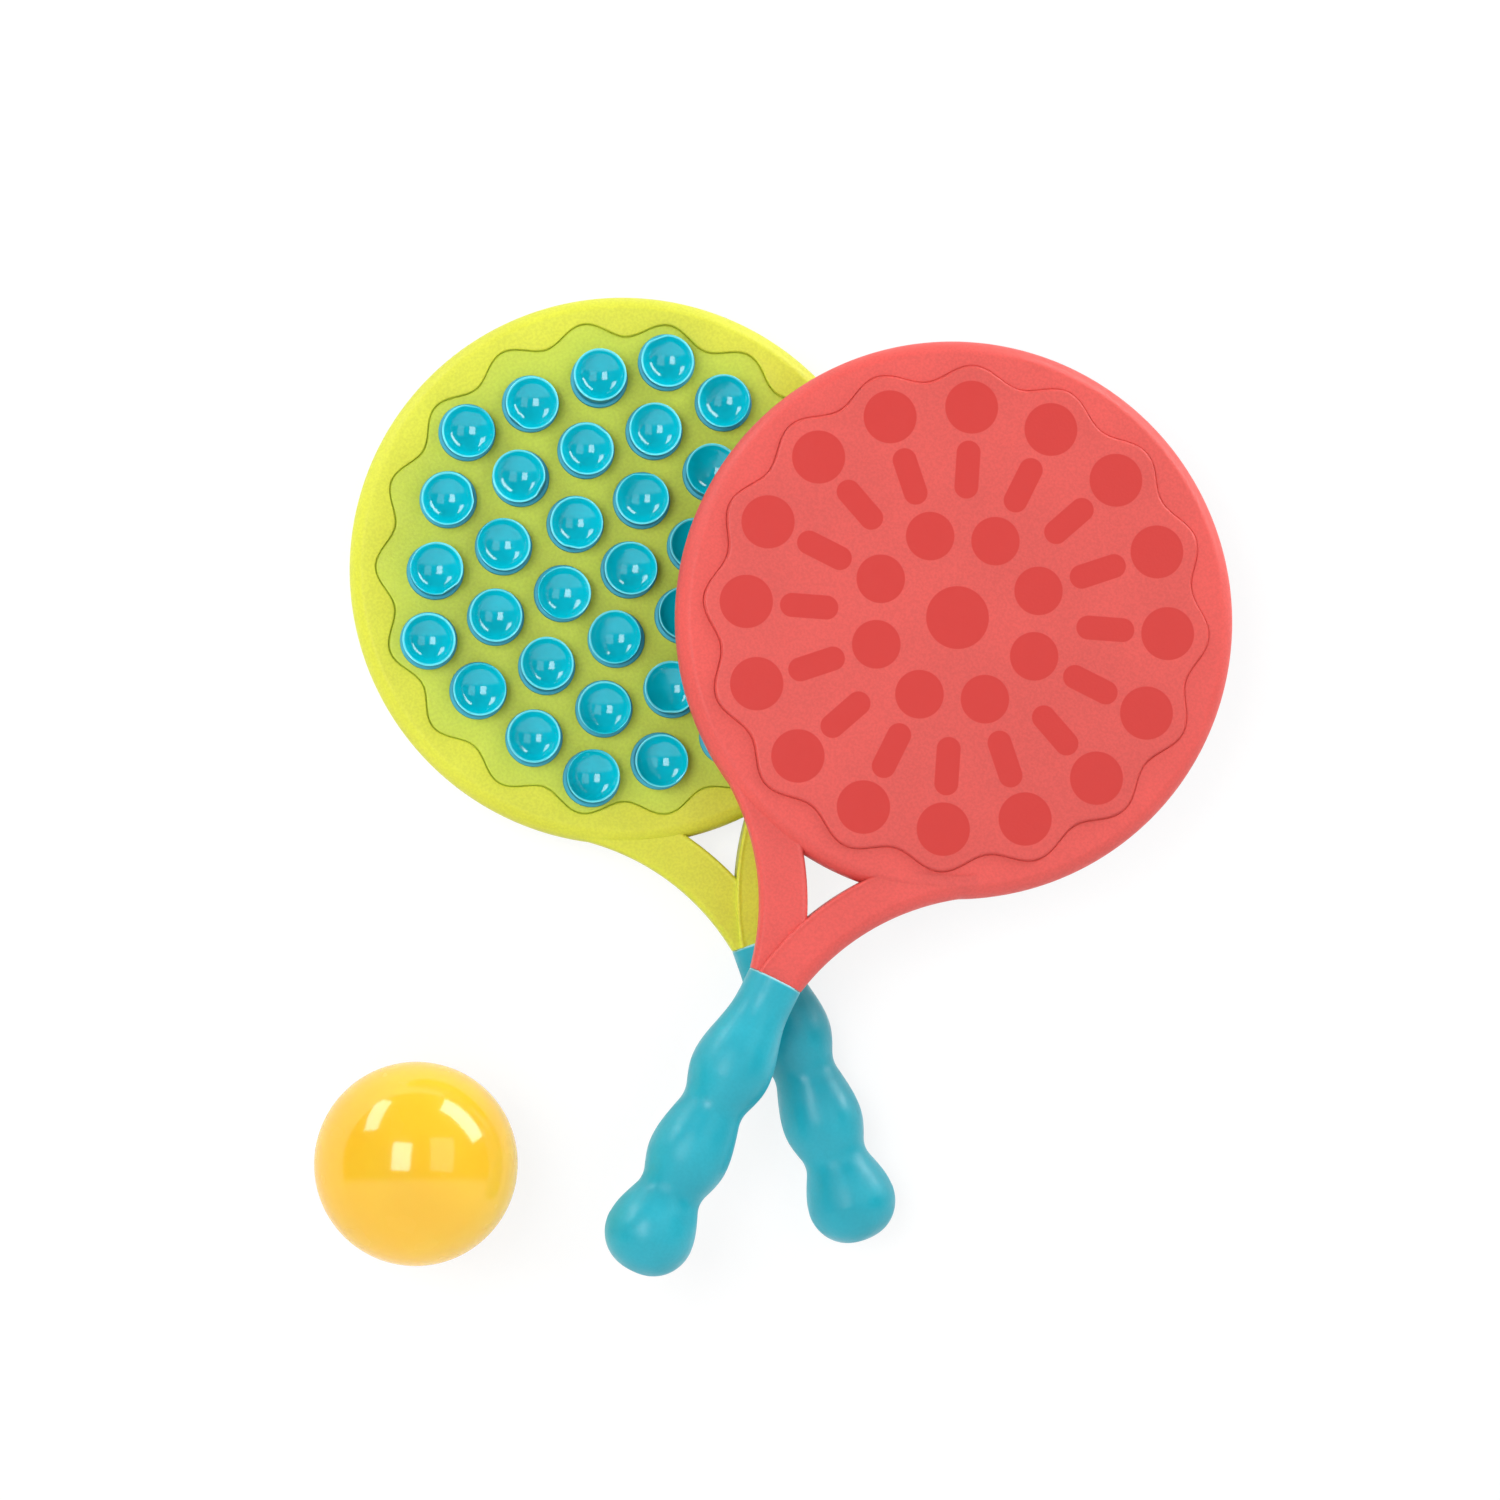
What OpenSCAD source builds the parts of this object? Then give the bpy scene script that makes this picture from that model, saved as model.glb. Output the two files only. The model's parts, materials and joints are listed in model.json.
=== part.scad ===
// Paddle ball game: two round paddles with suction cups on one face and a hitting panel on the other, and a ball.
// The green paddle lies on its hitting face, the red one lies cups down on the green one's cups, the ball beside them.
// A paddle is drawn about its head's centre: the grip runs along -Y and the cups face +Z.

/* [Head] */
// Outer radius of the round head
head_r = 98; // [80:1:120]
// Thickness of the head across its two flat rings
head_t = 17; // [15:0.5:22]
// Radius of the rounded edge of the rim
rim_round = 5.5; // [3:0.5:7]
// Thickness of the rim's outer wall
rim_wall = 3.2; // [2.5:0.1:4]
// Thickness of the other moulded walls
wall = 2; // [1.5:0.1:2.4]
// Chamfer on both shells that shows as the seam between them
seam = 0.3; // [0.1:0.1:0.6]

/* [Wavy panels] */
// Distance from the rim to the middle of the wavy edge
ring_w = 12; // [10:0.5:20]
// Height of a wave above and below that middle
wave_amp = 2.8; // [1:0.1:3.5]
// Number of waves round the hit panel
hit_wave_count = 16; // [8:2:24]
// Thickness of the cup plate and of the hit panel
panel_t = 1.8; // [1.4:0.1:2.4]
// How far the hit panel stands proud of its ring
panel_rise = 0.8; // [0.2:0.1:1.2]
// How far the cup plate lies below its ring
plate_drop = 0.8; // [0.2:0.1:1.2]
// Width of the ledge that each panel is seated on
ledge_w = 6; // [4:0.5:10]
// Gap round each panel in its pocket
panel_gap = 0.3; // [0.1:0.05:0.6]

/* [Suction cups] */
// Rings of cups round the middle one
cup_rings = 3; // [1:1:3]
// Outer radius of a cup's lip
cup_lip_r = 9.4; // [8:0.1:11.8]
// Height of the lip above the cup plate
cup_h = 8; // [6:0.5:11]
// Thickness of the lip's edge
cup_lip_t = 0.5; // [0.3:0.1:1]
// Depth of the hollow bowl
cup_depth = 5.3; // [3:0.1:6.5]
// Radius of the wall above the collar
cup_waist_r = 8.9; // [7:0.1:9.4]
// Radius of the stem and of its collar
cup_stem_r = 10.2; // [8:0.1:11.2]
// Height of the collar above the cup plate
cup_collar_h = 1.6; // [0.8:0.1:2.5]
// Gap between a stem and its hole
cup_gap = 0.25; // [0.1:0.05:0.5]
// Plate left between the outermost holes and the wavy edge
cup_edge = 2.8; // [2:0.1:6]
// How far the outer rings bulge from a hexagon towards a circle
cup_round_share = 0.25; // [0:0.05:0.6]
// Thickness of the rubber round the hollow stem and under the bowl
cup_wall = 2; // [1.5:0.1:2.5]
// Thickness of the mat's sheet
mat_t = 1.5; // [1:0.1:2]

/* [Throat] */
// Length of the throat from the rim to the grip
throat_len = 43; // [34:1:55]
// Width of the throat where it enters the grip
neck_w = 19.6; // [16:0.1:24]
// Width of a throat arm
arm_w = 16.5; // [12:0.5:21]
// Radius of an arm's outer curve
arm_sweep_r = 86; // [70:1:105]
// How far the arm that passes over lies below the head's ring
arm_drop = 0.8; // [0.6:0.1:1.5]
// How much lower the arm that passes under lies
under_drop = 1.6; // [0.6:0.1:1.8]
// Rounding of an arm's outer edge
arm_round = 4; // [2:0.5:5]
// Rounding of an arm's inner edge
arm_bevel = 2.5; // [1:0.5:4]
// Length of the swelling that leads the throat into the grip
swell_len = 20; // [10:1:24]

/* [Grip] */
// Length of the grip
grip_len = 112.5; // [95:0.5:135]
// Radius of the two swellings
grip_bulge_r = 14.4; // [12.5:0.1:17.5]
// Radius of the two waists
grip_waist_r = 11.2; // [9.5:0.1:13.5]
// Radius of the round end
grip_end_r = 15.7; // [13:0.1:18.8]
// Width of the tang inside the grip
tang_w = 11; // [8:0.5:13]
// Thickness of the tang
tang_t = 9; // [7:0.5:11]
// Length of the grip past the tang's end
tang_end = 27.5; // [20:0.5:40]
// Gap between the tang and the grip
tang_gap = 0.15; // [0.05:0.05:0.3]

/* [Ball] */
// Diameter of the ball
ball_d = 71; // [55:0.5:86]
// Thickness of the ball's shell
ball_wall = 2; // [1.4:0.1:3]
// Height of the lap that joins the two halves
ball_lap_h = 2; // [1:0.1:3]
// Gap in that lap
ball_lap_gap = 0.1; // [0.05:0.05:0.2]

/* [Layout] */
// Turn of the green paddle
green_turn = 19.7; // [0:0.1:45]
// Turn of the red paddle
red_turn = -26.7; // [-45:0.1:0]
// Red head's centre to the right of the green one's
red_x = 114.3; // [100:0.1:200]
// Red head's centre above the green one's, as laid out
red_y = -20.3; // [-60:0.1:60]
// Ball's centre to the right of the green head's
ball_x = -74.2; // [-140:0.1:-60]
// Ball's centre above the green head's
ball_y = -209.7; // [-260:0.1:-150]
// Gap between the two paddles' lips
stack_gap = 0.3; // [0.2:0.05:0.6]

/* [Hidden] */
$fn = 96;

// Colours of the mouldings
lime = "#D4DB4B";
coral = "#E9655F";
turquoise = "#3FB4C9";
cyan = "#12B3C5";
amber = "#FDC23C";

// Overrun of every cut
cut = 1;
// Steps in a rounded edge and in one wave
round_steps = 8;
wave_steps = 10;

// Heights above the parting plane in the middle of the head
half_t = head_t / 2;
plate_z = half_t - plate_drop;
mat_z = plate_z - panel_t - mat_t;
lip_z = plate_z + cup_h;
panel_z = half_t + panel_rise;
panel_seat_z = panel_z - panel_t;

// Wavy edges: the cup plate has one wave for each outer cup
wave_r = head_r - ring_w;
wave_top_r = wave_r + wave_amp;
wave_low_r = wave_r - wave_amp;
cup_wave_count = 6 * cup_rings;

// Hollows inside the head: a rim groove and windows between spokes
groove_in_r = wave_top_r + panel_gap + wall;
groove_out_r = head_r - rim_wall;
groove_h = half_t - 1.5 * wall;
window_r = wave_low_r - ledge_w;
rib_t = 1.6;
rib_count = 16;
rib_ring_r = window_r / 2;
hub_r = 6;

// Pegs that locate the two shells, in bosses across the rim groove
peg_count = 8;
peg_r = 1.1;
peg_h = 3;
peg_gap = 0.1;
boss_r = 2.6;
peg_place_r = (groove_in_r + groove_out_r) / 2;

// Places of the cups: rings of a hexagon, bulged a little towards circles
cup_hole_r = cup_stem_r + cup_gap;
cup_pitch = (wave_top_r - cup_edge - cup_hole_r) / cup_rings;
function hex_corner(side) = [cos(60 * side), sin(60 * side)];
function hex_place(ring, side, step) =
    ring * hex_corner(side) + step * (hex_corner(side + 1) - hex_corner(side));
function bulged(p, ring) = p * (1 + cup_round_share * (ring / norm(p) - 1));
cup_places = [
    [0, 0],
    for (ring = [1 : cup_rings], side = [0 : 5], step = [0 : ring - 1])
        cup_pitch * bulged(hex_place(ring, side, step), ring)
];

// Bowl of a cup: a ball that meets the lip's inner edge
lip_in_r = cup_lip_r - cup_lip_t;
bowl_r = (lip_in_r * lip_in_r + cup_depth * cup_depth) / (2 * cup_depth);
bowl_open = asin(min(1, lip_in_r / bowl_r));

// Arm: an arc that sinks a little into the rim and ends at the corner of the neck
neck_s = head_r + throat_len;
arm_sink = 0.4;
arm_half = half_t - arm_drop;
under_half = arm_half - under_drop;
arm_wall = 2.5;
neck_corner = [neck_w / 2, -neck_s];
arm_reach = head_r + arm_sweep_r - arm_sink;
neck_far = norm(neck_corner);
neck_dir = neck_corner / neck_far;
arm_along = (neck_far * neck_far + arm_reach * arm_reach - arm_sweep_r * arm_sweep_r) / (2 * neck_far);
arm_aside = sqrt(arm_reach * arm_reach - arm_along * arm_along);
arm_centre = arm_along * neck_dir + arm_aside * [-neck_dir[1], neck_dir[0]];
arm_in_r = arm_sweep_r + arm_w;
arm_from = atan2(-arm_centre[1], -arm_centre[0]);
arm_to = 180 - asin((-neck_s - cut - arm_centre[1]) / arm_in_r);
channel_end = 6;
channel_to = 180 - asin((-neck_s + channel_end - arm_centre[1]) / arm_sweep_r);

// Swelling of the neck, a little inside the grip's own radius
swell_inset = 0.3;

// Grip: stations along its length and the radius at each
grip_top_r = neck_w / 2;
grip_station_shares = [0, 0.08, 0.311, 0.432, 0.604, 0.724, 0.871];
grip_radii = [grip_top_r, grip_top_r, grip_bulge_r, grip_waist_r, grip_bulge_r, grip_waist_r, grip_end_r];
grip_ball_s = neck_s + grip_len * grip_station_shares[6];
grip_end_s = neck_s + grip_len;
tang_len = grip_len - tang_end;
waist_sharp_share = 0.6;
grip_steps = 8;

// How the set lies: the green paddle rests on the far edge of its hit panel and on a swelling of its grip
rest_edge_r = wave_top_r - panel_gap;
function rest_far(k) = neck_s + grip_len * grip_station_shares[k] + rest_edge_r;
function rest_angle(k) = asin(grip_radii[k] / norm([rest_far(k), panel_z])) - atan(panel_z / rest_far(k));
rest_tilt = max([for (k = [2, 4, 6]) rest_angle(k)]);
rest_z = panel_z * cos(rest_tilt) + rest_edge_r * sin(rest_tilt);
stack_z = 2 * lip_z + stack_gap;

// The green head's centre, set so that the whole set is centred on the origin
ball_r = ball_d / 2;
set_left = min(ball_x - ball_r, -head_r);
set_right = red_x + head_r;
red_low = red_y - (grip_ball_s * cos(red_turn) + grip_end_r);
green_low = -(grip_ball_s * cos(green_turn) + grip_end_r);
set_low = min(red_low, green_low, ball_y - ball_r);
set_high = max(head_r, red_y + head_r);
green_x = -(set_left + set_right) / 2;
green_y = -(set_low + set_high) / 2;

// Points of a round stretch about a centre
function arc(centre, r, from, to, steps) = [
    for (i = [0 : steps])
        let (a = from + (to - from) * i / steps)
            centre + r * [cos(a), sin(a)]
];

// Points of a wavy outline, with a top or a trough of a wave towards the grip
function wavy(inset, count, towards_grip) = [
    for (i = [0 : count * wave_steps - 1])
        let (a = 360 * i / (count * wave_steps))
            (wave_r - inset + wave_amp * towards_grip * cos(count * (a + 90))) * [cos(a), sin(a)]
];

// Radius of the grip between two stations: round crowns, tighter waists
function eased(t) = (1 - cos(180 * t)) / 2;
function crowned(t) = waist_sharp_share * sin(90 * t) + (1 - waist_sharp_share) * eased(t);
function grip_ease(k, t) = k < 2 ? eased(t) : (k % 2 == 0 ? 1 - crowned(1 - t) : crowned(t));
function grip_point(k, t) = [
    grip_radii[k] + (grip_radii[k + 1] - grip_radii[k]) * grip_ease(k, t),
    neck_s + grip_len * (grip_station_shares[k] + (grip_station_shares[k + 1] - grip_station_shares[k]) * t)
];
grip_outline = concat(
    [[0, neck_s]],
    [for (k = [0 : len(grip_radii) - 2], i = [0 : grip_steps - 1]) grip_point(k, i / grip_steps)],
    [
        for (i = [0 : grip_steps])
            let (a = 90 * i / grip_steps)
                [grip_end_r * cos(a), grip_ball_s + (grip_end_s - grip_ball_s) * sin(a)]
    ]
);

// Half of the head as a solid disc with a rounded rim
module head_half() {
    rotate_extrude()
        polygon(concat(
            [[0, 0], [head_r - seam, 0], [head_r, seam]],
            arc([head_r - rim_round, half_t - rim_round], rim_round, 0, 90, round_steps),
            [[0, half_t]]
        ));
}

// Sweeps a profile along the right-hand arm's curve
module along_arm(to) {
    translate(arm_centre)
        rotate(arm_from)
            rotate_extrude(angle = to - arm_from)
                children();
}

// Half of the right-hand arm, up to its own face
module arm_half_bar(face_z) {
    along_arm(arm_to)
        polygon(concat(
            [[arm_sweep_r, seam], [arm_sweep_r + seam, 0], [arm_in_r - seam, 0], [arm_in_r, seam]],
            arc([arm_in_r - arm_bevel, face_z - arm_bevel], arm_bevel, 0, 90, round_steps),
            arc([arm_sweep_r + arm_round, face_z - arm_round], arm_round, 90, 180, round_steps)
        ));
}

// Hollow along the underside of the right-hand arm, from clear of the rim to short of the neck
module arm_channel() {
    difference() {
        along_arm(channel_to)
            translate([arm_sweep_r + arm_wall, -cut])
                square([arm_w - 2 * arm_wall, under_half - arm_wall + cut]);
        translate([0, 0, -2 * cut])
            cylinder(h = head_t, r = head_r + arm_wall);
    }
}

// Both arms, the right one over the left one, cut square at the neck and swelling into the grip
module throat_half() {
    difference() {
        union() {
            arm_half_bar(arm_half);
            mirror([1, 0, 0])
                arm_half_bar(under_half);
        }
        translate([-head_r, -neck_s - head_r, -cut])
            cube([2 * head_r, head_r, head_t]);
    }
    intersection() {
        translate([0, swell_len - neck_s, 0])
            rotate([90, 0, 0])
                cylinder(h = swell_len, r1 = tang_t / 2, r2 = grip_top_r - swell_inset);
        translate([-neck_w, -neck_s, 0])
            cube([2 * neck_w, swell_len, head_t]);
    }
}

// Half of the bar that runs down inside the grip
module tang_half() {
    translate([-tang_w / 2, -neck_s - tang_len, 0])
        cube([tang_w, tang_len + cut, tang_t / 2]);
}

// Plate of a panel's wavy outline
module wavy_plate(inset, thickness, count, towards_grip) {
    linear_extrude(thickness)
        polygon(wavy(inset, count, towards_grip));
}

// Windows through the floor of a panel's pocket, with a hub, a ring and spokes left standing
module windows() {
    translate([0, 0, -cut])
        difference() {
            cylinder(h = head_t, r = window_r);
            cylinder(h = head_t, r = hub_r);
            difference() {
                cylinder(h = head_t, r = rib_ring_r + rib_t / 2);
                cylinder(h = head_t, r = rib_ring_r - rib_t / 2);
            }
            for (i = [0 : rib_count - 1])
                rotate(360 * i / rib_count)
                    translate([0, -rib_t / 2, 0])
                        cube([head_r, rib_t, head_t]);
        }
}

// Places the pegs, sockets and bosses round the rim
module at_pegs() {
    for (i = [0 : peg_count - 1])
        rotate(360 * (i + 0.5) / peg_count)
            translate([peg_place_r, 0, 0])
                children();
}

// Groove that lightens the rim, broken by the bosses
module rim_groove() {
    difference() {
        translate([0, 0, -cut])
            cylinder(h = groove_h + cut, r = groove_out_r);
        translate([0, 0, -2 * cut])
            cylinder(h = groove_h + 3 * cut, r = groove_in_r);
        at_pegs()
            translate([0, 0, -2 * cut])
                cylinder(h = groove_h + 3 * cut, r = boss_r);
    }
}

// What the two shells share: half the head, throat and tang, hollowed, with a panel's pocket down to its seat
module shell_half(floor_z) {
    difference() {
        union() {
            head_half();
            throat_half();
            tang_half();
        }
        windows();
        rim_groove();
        arm_channel();
        mirror([1, 0, 0])
            arm_channel();
        translate([0, 0, floor_z])
            children();
    }
}

// Shell on the cups' side, with sockets for the pegs
module cup_side_shell(tint) {
    color(tint)
        difference() {
            shell_half(mat_z)
                wavy_plate(0, head_t, cup_wave_count, -1);
            at_pegs()
                translate([0, 0, -cut])
                    cylinder(h = peg_h + peg_gap + cut, r = peg_r + peg_gap);
        }
}

// Shell on the hitting side, turned over, with the pegs
module hit_side_shell(tint) {
    color(tint)
        rotate([0, 180, 0]) {
            shell_half(panel_seat_z)
                wavy_plate(0, head_t, hit_wave_count, 1);
            at_pegs()
                translate([0, 0, -peg_h])
                    cylinder(h = peg_h + cut, r = peg_r);
        }
}

// Plate with a hole for every cup
module cup_plate(tint) {
    color(tint)
        translate([0, 0, plate_z - panel_t])
            difference() {
                wavy_plate(panel_gap, panel_t, cup_wave_count, -1);
                for (p = cup_places)
                    translate([p[0], p[1], -cut])
                        cylinder(h = panel_t + 2 * cut, r = cup_hole_r);
            }
}

// One suction cup, from inside the mat's sheet to its lip; its height starts at the cup plate's face
module suction_cup() {
    root_z = -panel_t - mat_t / 2;
    rotate_extrude()
        polygon(concat(
            [
                [0, root_z], [cup_stem_r, root_z], [cup_stem_r, cup_collar_h],
                [cup_waist_r, cup_collar_h], [cup_lip_r, cup_h - cup_lip_t], [cup_lip_r, cup_h]
            ],
            arc([0, cup_h - cup_depth + bowl_r], bowl_r, -90 + bowl_open, -90, round_steps)
        ));
}

// Soft sheet with all its cups, each hollow behind
module suction_mat(tint) {
    core_h = panel_t + mat_t + cup_h - cup_depth - cup_wall;
    color(tint)
        difference() {
            union() {
                translate([0, 0, mat_z])
                    wavy_plate(panel_gap, mat_t, cup_wave_count, -1);
                for (p = cup_places)
                    translate([p[0], p[1], plate_z])
                        suction_cup();
            }
            for (p = cup_places)
                translate([p[0], p[1], mat_z - cut])
                    cylinder(h = core_h + cut, r = cup_stem_r - cup_wall);
        }
}

// Raised panel for batting the ball
module hit_panel(tint) {
    color(tint)
        translate([0, 0, -panel_z])
            wavy_plate(panel_gap, panel_t, hit_wave_count, 1);
}

// Soft grip with its pocket for the tang
module grip(tint) {
    color(tint)
        difference() {
            rotate([90, 0, 0])
                rotate_extrude()
                    polygon(grip_outline);
            translate([-tang_w / 2 - tang_gap, -neck_s - tang_len - tang_gap, -tang_t / 2 - tang_gap])
                cube([tang_w + 2 * tang_gap, tang_len + tang_gap + cut, tang_t + 2 * tang_gap]);
        }
}

// Lower half of the ball, with the ring that laps inside the upper half
module lower_half(tint) {
    lap_r = ball_r - ball_wall / 2;
    color(tint)
        translate([0, 0, ball_r]) {
            difference() {
                sphere(r = ball_r);
                sphere(r = ball_r - ball_wall);
                translate([-ball_d, -ball_d, 0])
                    cube([2 * ball_d, 2 * ball_d, ball_d]);
            }
            difference() {
                translate([0, 0, -ball_lap_h])
                    cylinder(h = 2 * ball_lap_h - ball_lap_gap, r = lap_r - ball_lap_gap);
                translate([0, 0, -ball_lap_h - cut])
                    cylinder(h = 2 * ball_lap_h + 2 * cut, r = lap_r - ball_wall);
            }
        }
}

// Upper half of the ball, rebated for that ring
module upper_half(tint) {
    lap_r = ball_r - ball_wall / 2;
    color(tint)
        translate([0, 0, ball_r])
            difference() {
                sphere(r = ball_r);
                sphere(r = ball_r - ball_wall);
                translate([0, 0, -cut])
                    cylinder(h = ball_lap_h + cut, r = lap_r);
                translate([-ball_d, -ball_d, -ball_d])
                    cube([2 * ball_d, 2 * ball_d, ball_d]);
            }
}

// The slope on which both paddles lie, about the middle of the green head
module on_slope() {
    translate([green_x, green_y, rest_z])
        rotate([0, 0, green_turn])
            rotate([-rest_tilt, 0, 0])
                rotate([0, 0, -green_turn])
                    children();
}

// Green paddle, cups up
module place_green() {
    on_slope()
        rotate([0, 0, green_turn])
            children();
}

// Red paddle, cups down on the green one's cups
module place_red() {
    on_slope()
        translate([red_x, red_y, stack_z])
            rotate([0, 180, red_turn])
                children();
}

// Ball beside them on the same surface
module place_ball() {
    translate([green_x + ball_x, green_y + ball_y, 0])
        children();
}

module green_cup_side_shell() { place_green() cup_side_shell(lime); }
module green_hit_side_shell() { place_green() hit_side_shell(lime); }
module green_cup_plate() { place_green() cup_plate(lime); }
module green_suction_mat() { place_green() suction_mat(cyan); }
module green_hit_panel() { place_green() hit_panel(lime); }
module green_grip() { place_green() grip(turquoise); }
module red_cup_side_shell() { place_red() cup_side_shell(coral); }
module red_hit_side_shell() { place_red() hit_side_shell(coral); }
module red_cup_plate() { place_red() cup_plate(coral); }
module red_suction_mat() { place_red() suction_mat(cyan); }
module red_hit_panel() { place_red() hit_panel(coral); }
module red_grip() { place_red() grip(turquoise); }
module ball_lower_half() { place_ball() lower_half(amber); }
module ball_upper_half() { place_ball() upper_half(amber); }

green_cup_side_shell();
green_hit_side_shell();
green_cup_plate();
green_suction_mat();
green_hit_panel();
green_grip();
red_cup_side_shell();
red_hit_side_shell();
red_cup_plate();
red_suction_mat();
red_hit_panel();
red_grip();
ball_lower_half();
ball_upper_half();
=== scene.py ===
# %% [markdown]
# A paddle ball game, dressed for its portrait.
# The set is two round paddles, lime and coral, and a hollow amber ball. Each paddle has soft suction
# cups on one face and a raised panel for batting on the other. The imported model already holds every
# piece at its real size and place. This lesson gives each piece the fine form of a moulding and the
# finish of its plastic.

import json
import math
import random

import bmesh
import bpy
from mathutils import Matrix, Vector


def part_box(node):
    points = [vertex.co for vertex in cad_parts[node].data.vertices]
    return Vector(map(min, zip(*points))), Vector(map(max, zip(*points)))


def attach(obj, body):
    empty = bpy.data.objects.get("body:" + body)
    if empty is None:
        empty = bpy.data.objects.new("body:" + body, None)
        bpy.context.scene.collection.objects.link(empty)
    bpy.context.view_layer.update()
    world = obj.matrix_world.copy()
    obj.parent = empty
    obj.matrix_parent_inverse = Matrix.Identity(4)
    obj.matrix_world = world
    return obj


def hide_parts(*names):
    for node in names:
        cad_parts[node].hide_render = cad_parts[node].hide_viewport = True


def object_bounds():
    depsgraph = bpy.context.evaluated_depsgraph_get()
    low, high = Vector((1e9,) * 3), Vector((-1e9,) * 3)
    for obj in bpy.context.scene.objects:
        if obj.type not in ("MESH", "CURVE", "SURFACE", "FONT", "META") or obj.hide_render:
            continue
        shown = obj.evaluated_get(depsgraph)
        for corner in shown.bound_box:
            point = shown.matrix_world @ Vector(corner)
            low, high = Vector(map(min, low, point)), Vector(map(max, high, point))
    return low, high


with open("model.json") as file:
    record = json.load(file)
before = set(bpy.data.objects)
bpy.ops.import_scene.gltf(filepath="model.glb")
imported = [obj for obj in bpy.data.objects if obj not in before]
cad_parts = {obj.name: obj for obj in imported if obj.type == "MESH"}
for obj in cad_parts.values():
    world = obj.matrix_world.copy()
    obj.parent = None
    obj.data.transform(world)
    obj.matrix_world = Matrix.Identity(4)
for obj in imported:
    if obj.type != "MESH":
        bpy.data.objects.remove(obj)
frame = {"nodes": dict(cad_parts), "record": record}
cad_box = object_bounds()
scene = bpy.context.scene
scene.view_settings.view_transform = "Standard"
box_mm = [[round(v * 1000, 1) for v in corner] for corner in cad_box]
print("nodes", len(frame["nodes"]), "box in mm", box_mm)

# %% [markdown]
# Where the paddles lie.
# The record states one flat face on each paddle: the batting panel, with a point under the head's
# centre and the way the face looks. Both paddles lie on one gentle slope, because the green grip is
# fatter than half the head. A paddle's own axes are the simplest ones to model in: x to the right, y
# from the grip to the head, z out of the cups. One matrix for each paddle then puts a piece where the
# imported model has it.

# %% Place the paddles' own axes
MM = 0.001
HEAD_R = 98
HEAD_T = 17
PANEL_RISE = 0.8
GREEN_TURN = math.radians(19.7)
RED_TURN = math.radians(-26.7)

HALF_T = HEAD_T / 2
PANEL_Z = HALF_T + PANEL_RISE
mounts = {mount["name"]: mount for mount in frame["record"]["mounts"]}
up = -Vector(mounts["green_rest_face"]["axis"])
slope = Vector((0, 0, 1)).rotation_difference(up).to_matrix().to_4x4()
green_centre = Vector(mounts["green_rest_face"]["pos_m"]) + up * PANEL_Z * MM
red_centre = Vector(mounts["red_hit_face"]["pos_m"]) - up * PANEL_Z * MM
TURN_OVER = Matrix.Rotation(math.pi, 4, "Y")
PADDLES = {
    "green": Matrix.Translation(green_centre) @ slope @ Matrix.Rotation(GREEN_TURN, 4, "Z"),
    "red": Matrix.Translation(red_centre) @ slope @ Matrix.Rotation(RED_TURN, 4, "Z") @ TURN_OVER,
}
FACES = {"cup": Matrix.Identity(4), "hit": TURN_OVER}
print("slope in degrees", round(math.degrees(up.angle(Vector((0, 0, 1)))), 2))

# %% [markdown]
# Camera.
# The heads show as true circles in the photograph, so its picture plane is level with the table. Yet
# the cups show their lower left sides, so the lens stood to the lower left of them. A view camera does
# that with a wide shift of its lens, but a wide shift would push the object out of every other view.
# So most of it is a tilt by a few degrees here, and only a little is a shift. The heads stay round to
# within a hundredth. The tilt is written as the axis to turn about, as long as the turn in degrees.

# %% Set the camera
CAMERA_AT = green_centre + Vector((-76.03, -119.87, 1381.62)) * MM
TILT = Vector((1.7504, -3.2325, 0))
LENS = 93
SENSOR = 36
SHIFT_X = 0.08
SHIFT_Y = 0.025

camera_data = bpy.data.cameras.new("camera")
camera_data.lens = LENS
camera_data.sensor_width = SENSOR
camera_data.shift_x = SHIFT_X
camera_data.shift_y = SHIFT_Y
camera = bpy.data.objects.new("camera", camera_data)
tilted = Matrix.Rotation(math.radians(TILT.length), 4, TILT)
camera.matrix_world = Matrix.Translation(CAMERA_AT) @ tilted
scene.collection.objects.link(camera)
scene.camera = camera
print("camera height in mm", round(CAMERA_AT.z / MM))

# %% [markdown]
# Finishes.
# All of these are moulded plastics, so each one is a Principled shader with three things of its own: a
# colour that drifts a little, a roughness that drifts with it, and a bump for the grain that the mould
# left. The noise reads the piece's own coordinates, so the grain stays on the piece when it moves. A
# helper keeps each recipe down to its numbers.


# %% Helpers for colours
def from_srgb(r, g, b):
    """A colour as a picture shows it, 0 to 255, as the linear colour that a shader takes."""
    shares = [v / 255 for v in (r, g, b)]
    return [v / 12.92 if v <= 0.04 else ((v + 0.055) / 1.055) ** 2.4 for v in shares] + [1]


def scaled(colour, factor):
    return [min(1, v * factor) for v in colour[:3]] + [1]


print("mid grey in linear light", round(from_srgb(128, 128, 128)[0], 3))

# %% Helpers for node materials
NOISE_SPAN = (0.3, 0.7)


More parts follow.
